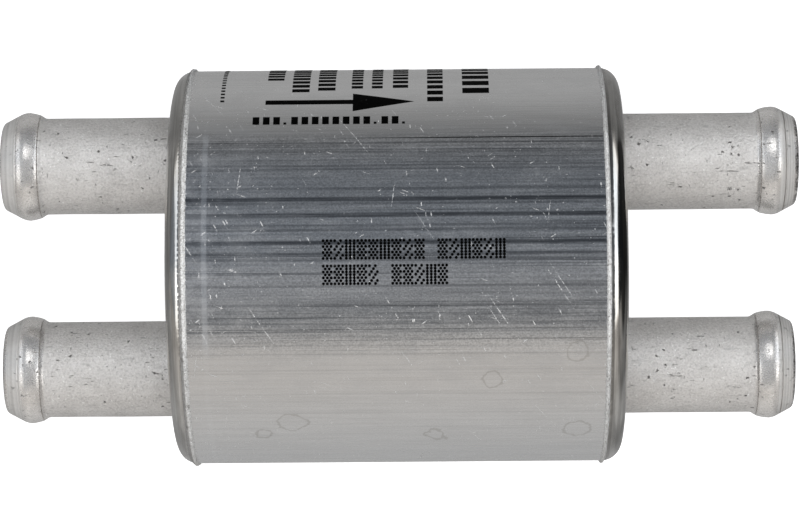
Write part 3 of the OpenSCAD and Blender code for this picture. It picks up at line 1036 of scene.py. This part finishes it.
def studio_world():
    """Soft light from all around: a dim ceiling, bright sides, and a strip at each end."""
    world = bpy.data.worlds.new("studio")
    bpy.context.scene.world = world
    world.use_nodes = True
    nodes = Nodes(world.node_tree)
    x, y, z = nodes.split(nodes.node("TexCoord").outputs["Generated"])
    turn = nodes.math("MULTIPLY_ADD", linear(nodes, x, -0.1, 0.1), -CEILING_LEAN,
                      nodes.math("ARCTAN2", y, z))
    half_lean = CEILING_LEAN / 2
    around = linear(nodes, turn, -math.pi - half_lean, math.pi - half_lean)
    along = linear(nodes, x, -1.0, 1.0)

    shares = nodes.node("SeparateColor", {0: ramp(nodes, around, turned_stops(SHARES))}).outputs
    parts = [nodes.scale(profile(nodes, along, stops), share)
             for stops, share in zip((CEILING, SIDES, GROUND), shares)]
    light = parts[0]
    for part in parts[1:]:
        light = nodes.node("VectorMath", {0: light, 1: part}, operation="ADD").outputs[0]
    tint = ramp(nodes, around, turned_stops(TINTS))
    light = nodes.node("VectorMath", {0: light, 1: tint}, operation="MULTIPLY").outputs[0]

    # Matte surfaces see less of it, so that they are lit mostly from overhead.
    rays = nodes.node("LightPath").outputs
    strength = nodes.math("MULTIPLY_ADD", rays["Is Diffuse Ray"], -DIMMED, 1.0)
    lit = nodes.tree.nodes["Background"]
    nodes.feed(lit.inputs["Color"], light)
    nodes.feed(lit.inputs["Strength"], strength)
    white = nodes.node("Background", {"Color": (1, 1, 1, 1), "Strength": BACKDROP})
    seen = nodes.node("MixShader", {0: rays["Is Camera Ray"], 1: lit.outputs[0],
                                    2: white.outputs[0]})
    nodes.feed(nodes.tree.nodes["World Output"].inputs["Surface"], seen.outputs[0])


def softbox(name, place, size, radiance, glossy=True, diffuse=True, only=None):
    """A square area light that faces the filter; radiance is how bright its face is.

    place and size are in metres, and only limits it to some of the pieces."""
    data = bpy.data.lights.new(name, "AREA")
    data.shape = "SQUARE"
    data.size = size
    data.energy = radiance * math.pi * size ** 2
    made = bpy.data.objects.new(name, data)
    made.location = place
    made.rotation_euler = Vector(place).to_track_quat("Z", "Y").to_euler()
    made.visible_camera = False
    made.visible_glossy = glossy
    made.visible_diffuse = diffuse
    bpy.context.scene.collection.objects.link(made)
    if only:
        lit = bpy.data.collections.new(name + "_lit")
        for piece in only:
            lit.objects.link(piece)
        made.light_linking.receiver_collection = lit


def studio():
    view = bpy.context.scene.view_settings
    view.view_transform = "Standard"
    view.look = "None"
    studio_world()
    softbox("overhead_fill", FILL_PLACE, FILL_SIZE, FILL_RADIANCE, glossy=False)
    floor()


# ---------------------------------------------------------------- build

camera()
studio()
can_shell()
nipple_metal = tumbled_aluminium()
braze = braze_metal()
nipples = [hose_nipple(end, side, nipple_metal) for end in (-1, 1) for side in (-1, 1)]
for end in (-1, 1):
    braze_fillets(end, braze)
softbox("nipple_shine", SHINE_PLACE, SHINE_SIZE, SHINE_RADIANCE, diffuse=False, only=nipples)
ink = printing_ink()
flow_arrow(ink)
tick_row(ink)
bar_line(ink)
label_columns(ink)
dot_code(ink)

paint(["inlet_end_plate", "outlet_end_plate"], turned_aluminium())
paint(["inlet_o_ring", "outlet_o_ring"], rubber("o_ring_rubber", (0.018, 0.018, 0.02)))
paint(["element_gasket"], rubber("gasket_rubber", (0.03, 0.03, 0.032)))
paint(["pleated_media"], glass_fibre())
paint(["media_core"], moulded_plastic("core_plastic", (0.08, 0.09, 0.1), (0.12, 0.13, 0.14)))
paint(["media_net"], moulded_plastic("net_plastic", (0.68, 0.7, 0.7), (0.82, 0.84, 0.84)))
paint(["closed_end_cap", "open_end_cap"],
      moulded_plastic("cap_plastic", (0.045, 0.05, 0.055), (0.075, 0.08, 0.085)))
paint(["closed_end_potting", "open_end_potting"], potting_adhesive())
paint(["element_spring"], drawn_wire())
